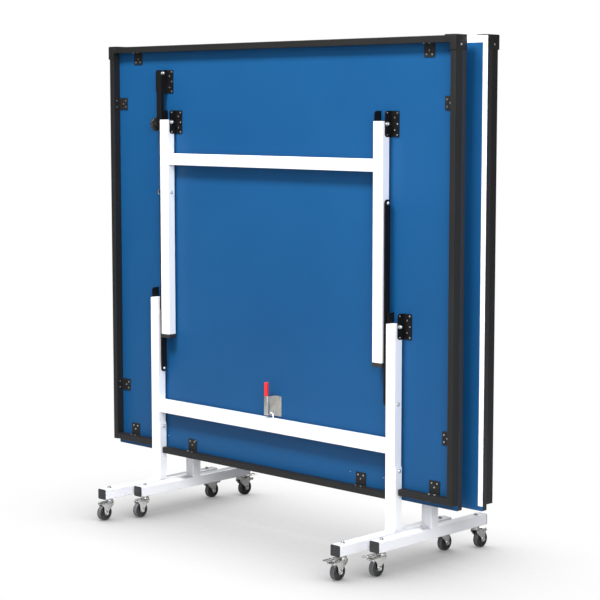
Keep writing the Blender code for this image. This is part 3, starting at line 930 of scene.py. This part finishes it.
leverLow, leverHigh = span("latch_lever")
latchLow, latchHigh = span("latch_bracket")
leverX = (leverLow.x + leverHigh.x) / 2
latchSize = {
    "gripBottom": 0.4500, "gripWide": 0.0124, "gripDeep": 0.0114, "pivotZ": 0.400, "pivotY": -0.0363,
    "sheet": 0.0014, "corner": 0.0026, "slotLow": 0.3972, "slotHigh": 0.4004, "slotFront": 0.0035,
    "slotBack": 0.0105, "rollY": 0.0060, "rollZ": 0.0036, "roll": 0.0034, "rollWide": 0.0162,
    "groove": 0.0014, "grooveStep": 0.0056, "firstGroove": 0.007, "plate": 0.0021,
}


def makeLeverBody():
    # folded sheet, open at the back, with a slot for the hook across its foot
    c = latchSize
    body = addBox("lever", tuple(leverLow), (leverHigh.x, leverHigh.y, c["gripBottom"] + 0.0010))
    insetPush(body, lambda face: facing(face, "y", 1), c["sheet"], c["sheet"] - (leverHigh.y - leverLow.y))
    roundEdges(body, c["corner"], 4,
               lambda edge: along(edge, "z") and edge.verts[0].co.y < leverLow.y + 0.001)
    slot = addBox("slot", (leverX, leverLow.y + c["slotFront"], c["slotLow"]),
                  (leverHigh.x + 0.01, leverLow.y + c["slotBack"], c["slotHigh"]))
    roundEdges(slot, 0.0012, 3, lambda edge: along(edge, "x"))
    cutWith(body, slot)
    softBevel(body, 0.0004, 2, 50)
    spot = (leverX, leverLow.y + c["rollY"], leverLow.z + c["rollZ"])
    roll = addRound("roll", spot, c["roll"], c["rollWide"], "x", 28)
    softBevel(roll, 0.0005, 2)
    return smoothOver(joinAll("lever", [body, roll]), 35)


def makeGrip():
    # dipped vinyl sleeve, round at the top, grooved on the front for the hand
    c = latchSize
    left, front = leverLow.x + 0.0002, leverLow.y + 0.0002
    right, back = left + c["gripWide"], front + c["gripDeep"]
    top = leverHigh.z + 0.0004
    grip = addBox("grip", (left, front, c["gripBottom"]), (right, back, top))
    roundEdges(grip, 0.0042, 5, lambda edge: along(edge, "z"))
    roundEdges(grip, 0.0036, 5, lambda edge: all(v.co.z > top - 0.0005 for v in edge.verts))
    for step in range(6):
        height = c["gripBottom"] + c["firstGroove"] + step * c["grooveStep"]
        groove = addBox("groove", (left - 0.01, front - 0.001, height),
                        (right + 0.01, front + 0.0005, height + c["groove"]))
        cutWith(grip, groove)
    softBevel(grip, 0.0003, 2, 50)
    return smoothOver(clean(grip), 40)


fit(makeLeverBody(), "latch_arm", "latch", latchGrey, "latch_lever")
fit(makeGrip(), "latch_grip", "latch", gripRed)

# three screws up the outer side of the latch plate

latchFace = latchHigh.y - latchSize["plate"]
latchMiddle = (latchLow.z + latchHigh.z) / 2
latchReach = (latchHigh.z - latchLow.z) / 2 - 0.0075
screwsAt("latch_screws", "panel", [
    (latchHigh.x - 0.0060, latchFace, latchMiddle + step * latchReach) for step in (-1, 0, 1)
])
hardwareAt("latch_pin", "panel", [
    (boltPattern, latchLow.x - 0.0002, latchSize["pivotY"], latchSize["pivotZ"], "left", 0.45),
])
print("latch")


# castors: wheel, fork and brake pedal, modelled for a front castor with its stem over the origin

castor = {
    "wheelRadius": 0.026, "wheelWidth": 0.018, "trail": 0.022, "cheekX": 0.0107, "cheek": 0.0022,
    "top": 0.0610, "shoulder": 0.0040, "boss": 0.0078, "axle": 0.0036, "nut": 0.0066, "nutRise": 0.0038,
    "rivet": 0.0022, "rivetY": 0.0040, "spacer": 0.0026, "crownBack": 0.0072, "crown": 0.0026,
    "stem": 0.0049, "stemZ": 0.090, "stemLong": 0.037,
}
# the swivel's rings, each with its bottom, top and radius
races = ((castor["top"] - 0.001, 0.0652, 0.0135), (0.0648, 0.0676, 0.0118), (0.0672, 0.0716, 0.0095))


def addSheet(name, points, push):
    # a flat outline given thickness by a push
    deselectAll()
    bpy.ops.mesh.primitive_circle_add(vertices=len(points), radius=0.01, fill_type="NGON")
    plate = bpy.context.object
    plate.name = name
    for vertex, point in zip(plate.data.vertices, points):
        vertex.co = point
    openEdit(plate)
    bpy.ops.mesh.select_all(action="SELECT")
    bpy.ops.mesh.extrude_region_move(TRANSFORM_OT_translate={"value": push})
    bpy.ops.mesh.select_all(action="SELECT")
    bpy.ops.mesh.normals_make_consistent(inside=False)
    closeEdit()
    return plate


def sweep(middle, radius, start, end, steps):
    turn = [math.radians(start + (end - start) * i / steps) for i in range(steps + 1)]
    return [(middle[0] + radius * math.cos(a), middle[1] + radius * math.sin(a)) for a in turn]


def makeWheel():
    c = castor
    axle = (0, -c["trail"], c["wheelRadius"])
    half = c["wheelWidth"] / 2
    wheel = addRound("wheel", axle, c["wheelRadius"], c["wheelWidth"], "x", 64)
    roundEdges(wheel, c["shoulder"], 5, lambda edge: not along(edge, "x"))

    def sideFace(face):
        return abs(face.normal.x) > 0.99 and face.calc_area() > 0.0004

    insetPush(wheel, sideFace, 0.0042, 0)
    insetPush(wheel, sideFace, 0.0006, -0.0016)
    insetPush(wheel, sideFace, 0.0050, 0)
    insetPush(wheel, lambda face: abs(face.normal.x) > 0.99 and 0.0001 < face.calc_area() < 0.0003
              and abs(face.calc_center_median().y - axle[1]) < 0.0002, 0.0005, 0.0020)
    wheel.data.materials.append(treadGrey.material)
    wheel.data.materials.append(hubBlack.material)
    for face in wheel.data.polygons:
        aside = Vector((face.center.y - axle[1], face.center.z - axle[2])).length
        dark = aside < c["wheelRadius"] - c["shoulder"] * 0.55 and abs(face.center.x) > half * 0.5
        face.material_index = 1 if dark else 0
    return smoothOver(wheel, 32)


def cheekOutline(braked):
    # (y, z) round the axle boss, up the back, and down the front, which reaches out to carry a brake
    c = castor
    top = c["top"]
    boss = sweep((-c["trail"], c["wheelRadius"]), c["boss"], 180, 360, 8)
    back = [(-0.0115, 0.0330), (0.0060, 0.0490), (0.0095, 0.0535), (0.0095, top - 0.002), (0.0075, top)]
    if braked:
        front = [(-0.0350, top), (-0.0530, top - 0.003), (-0.0545, 0.0560), (-0.0520, 0.0525),
                 (-0.0385, 0.0500), (-0.0320, 0.0420)]
    else:
        front = [(-0.0345, top), (-0.0385, top - 0.004), (-0.0385, 0.0530), (-0.0330, 0.0470)]
    return boss + back + front


def makeFork(braked):
    c = castor
    y = -c["trail"]
    parts = []
    for side in (-1, 1):
        points = [(side * c["cheekX"], *point) for point in cheekOutline(braked)]
        cheek = addSheet("cheek", points, (side * c["cheek"], 0, 0))
        softBevel(cheek, 0.0005, 2, 40)
        parts.append(clean(cheek))
    crownFront = -0.0215 if braked else -0.0335
    crownX = c["cheekX"] + 0.0008
    crown = addBox("crown", (-crownX, crownFront, c["top"] - c["crown"]),
                   (crownX, c["crownBack"], c["top"] - 0.0002))
    insetPush(crown, lambda face: face.normal.z > 0.9, 0.0020, -0.0005)
    softBevel(crown, 0.0005, 2, 40)
    parts.append(clean(crown))
    for low, high, radius in races:
        ring = addRound("race", (0, 0, (low + high) / 2), radius, high - low, "z", 40)
        parts.append(softBevel(ring, 0.0009, 3))
    parts.append(addRound("stem", (0, 0, c["stemZ"]), c["stem"], c["stemLong"], "z", 24))
    spacer = (0, -0.0485, 0.0532) if braked else (0, -0.0355, 0.0553)
    bar = addRound("spacer", spacer, c["spacer"], c["cheekX"] * 2 + 0.008, "x", 20)
    parts.append(softBevel(bar, 0.0005, 2))
    axle = addRound("axle", (0, y, c["wheelRadius"]), c["axle"], c["cheekX"] * 2 + 0.010, "x", 24)
    parts.append(softBevel(axle, 0.0006, 2))
    for side in (-1, 1):
        x = side * (c["cheekX"] + c["cheek"])
        nut = addRound("axleNut", (x + side * 0.0020, y, c["wheelRadius"]), c["nut"], c["nutRise"], "x", 6)
        parts.append(softBevel(nut, 0.0007, 2))
        seat = (x + side * 0.0006, c["rivetY"], c["top"] - 0.0065)
        rivet = addRound("rivet", seat, c["rivet"], 0.0016, "x", 20)
        parts.append(softBevel(rivet, 0.0005, 2))
    return smoothOver(joinAll("fork", parts), 35)


pedalSize = {
    "fromStem": 0.0155, "thick": 0.0022, "windowWide": 0.0058, "windowLow": 0.040, "windowHigh": 0.023,
    "ribWide": 0.0078, "ribStep": 0.0034, "firstRib": 0.0065, "shoeWide": 0.0080, "shoeFront": -0.0425,
    "shoeBack": -0.0335, "shoeLow": 0.0562,
}


def makePedal():
    # plate with a window, four ribs at the tip for the foot and a shoe that presses on the tyre
    c = pedalSize
    low, high = span("brake_pedal_front_right")
    root = -c["fromStem"]
    tip = low.y - high.y + root
    z = low.z
    side = [(0.0085, root), (0.0098, root - 0.010), (0.0098, -0.0570), (0.0110, -0.0585),
            (0.0110, tip + 0.006), (0.0095, tip + 0.0015), (0.0050, tip)]
    outline = side + [(-x, y) for x, y in reversed(side)]
    plate = addSheet("pedal", [(*point, z) for point in outline], (0, 0, c["thick"]))
    window = addBox("window", (-c["windowWide"], root - c["windowLow"], z - 0.01),
                    (c["windowWide"], root - c["windowHigh"], z + 0.01))
    roundEdges(window, 0.002, 3, lambda edge: along(edge, "z"))
    cutWith(plate, window)
    parts = [softBevel(plate, 0.0004, 2, 40)]
    for step in range(4):
        y = tip + c["firstRib"] + step * c["ribStep"]
        rib = addBox("rib", (-c["ribWide"], y - 0.0007, z + 0.0018), (c["ribWide"], y + 0.0007, z + 0.0030))
        parts.append(softBevel(rib, 0.0004, 2))
    shoe = addBox("shoe", (-c["shoeWide"], c["shoeFront"], c["shoeLow"]),
                  (c["shoeWide"], c["shoeBack"], z + 0.0004))
    roundEdges(shoe, 0.0025, 3, lambda edge: along(edge, "x") and edge.verts[0].co.z < c["shoeLow"] + 0.001)
    parts.append(softBevel(shoe, 0.0006, 2, 40))
    return smoothOver(joinAll("pedal", parts), 35)


wheelPattern = makeWheel()
plainFork = makeFork(False)
brakedFork = makeFork(True)
pedalPattern = makePedal()
braked = {"front_right", "rear_left"}
for endWord, end in (("front", 1), ("rear", -1)):
    for sideWord, side in (("left", -1), ("right", 1)):
        word = endWord + "_" + sideWord
        stemY = pivotY - end * footSize["stemFromMiddle"]
        spot = move(side * postX, stemY) @ swing(0 if end > 0 else 180, "z")
        wheel = copyOf(wheelPattern, "wheel", spot)
        fit(wheel, "wheel_" + word, "wheel_" + word, None, "castor_wheel_" + word)
        fork = copyOf(brakedFork if word in braked else plainFork, "fork", spot)
        fit(fork, "fork_" + word, "castor_" + word, zincPlate, "castor_fork_" + word)
        if word in braked:
            pedal = copyOf(pedalPattern, "pedal", spot)
            fit(pedal, "pedal_" + word, "pedal_" + word, zincPlate, "brake_pedal_" + word)
patterns = (wheelPattern, plainFork, brakedFork, pedalPattern,
            screwPattern, boltPattern, nutPattern, acornPattern)
for pattern in patterns:
    bpy.data.objects.remove(pattern, do_unlink=True)
print("castors")


# floor, light and camera

studio = {
    "floor": 400.0, "paper": (0.55, 0.55, 0.55), "shade": (0.26, 0.26, 0.26), "light": (1.0, 1.0, 1.0),
    "reach": 0.55, "ambient": 0.14, "key": 375, "fill": 215, "behind": 170,
    "lens": 104.66, "eye": (3.8866, -3.9034, 1.3618), "down": 6.28, "turn": 44.42,
}


def makeFloor():
    # pale paper; seen straight on, it glows evenly, with painted contact shadows where ambient occlusion
    # darkens the glow towards grey
    deselectAll()
    bpy.ops.mesh.primitive_plane_add(size=studio["floor"], location=(0, 0, 0))
    floor = bpy.context.object
    floor.name = "floor"
    paper = Finish("floorPaper", studio["paper"], 0.85, specular=0.0)
    paper.set("Roughness", paper.spread(paper.noise(6, 3), 0.80, 0.90))
    # painted contact shadow: ambient occlusion fades the camera's view of the floor from white to the shade
    # grey near and under things
    paintedContactShadow = paper.node("ShaderNodeAmbientOcclusion", {"samples": 16}, {"Distance": studio["reach"]}, "AO")
    tone = paper.blend(paper.spread(paintedContactShadow, 0, 1, 0.30, 0.97), studio["shade"], studio["light"])
    glow = paper.node("ShaderNodeEmission", None, {"Color": tone})
    seen = paper.node("ShaderNodeLightPath", output="Is Camera Ray")
    plain = Wire(paper, paper.shader.outputs[0])
    both = paper.node("ShaderNodeMixShader", None, {0: seen, 1: plain, 2: glow})
    paper.tree.links.new(both.socket, paper.tree.nodes["Material Output"].inputs["Surface"])
    dress(floor, paper)


makeFloor()

world = bpy.data.worlds.new("studio")
bpy.context.scene.world = world
world.use_nodes = True
sky = world.node_tree.nodes["Background"]
sky.inputs["Color"].default_value = (1, 1, 1, 1)
rays = world.node_tree.nodes.new("ShaderNodeLightPath")
strength = world.node_tree.nodes.new("ShaderNodeMapRange")
strength.inputs["To Min"].default_value = studio["ambient"]
strength.inputs["To Max"].default_value = 1.0
world.node_tree.links.new(rays.outputs["Is Camera Ray"], strength.inputs["Value"])
world.node_tree.links.new(strength.outputs["Result"], sky.inputs["Strength"])


def addSoftbox(name, place, aim, size, power, tint=(1, 1, 1)):
    light = bpy.data.lights.new(name, "AREA")
    light.shape = "RECTANGLE"
    light.size, light.size_y = size
    light.energy = power
    light.color = tint
    lamp = bpy.data.objects.new(name, light)
    lamp.location = place
    lamp.rotation_euler = (Vector(aim) - Vector(place)).to_track_quat("-Z", "Y").to_euler()
    bpy.context.scene.collection.objects.link(lamp)


addSoftbox("overhead", (0.0, -2.75, 4.8), (0, 0, 0.8), (2.0, 1.1), studio["key"])
addSoftbox("cameraFill", (4.4, -3.0, 2.5), (0, 0, 0.8), (2.4, 2.4), studio["fill"], (0.96, 0.975, 1.0))
addSoftbox("behind", (-2.2, 3.6, 3.6), (0, 0, 0.8), (2.4, 1.6), studio["behind"])

lensData = bpy.data.cameras.new("camera")
lensData.lens = studio["lens"]
lensData.sensor_width = 36
lensData.clip_end = 2000
camera = bpy.data.objects.new("camera", lensData)
camera.location = studio["eye"]
camera.rotation_euler = (math.radians(90 - studio["down"]), 0, math.radians(studio["turn"]))
bpy.context.scene.collection.objects.link(camera)
bpy.context.scene.camera = camera
bpy.context.scene.view_settings.view_transform = "Standard"
print("studio")

deselectAll()
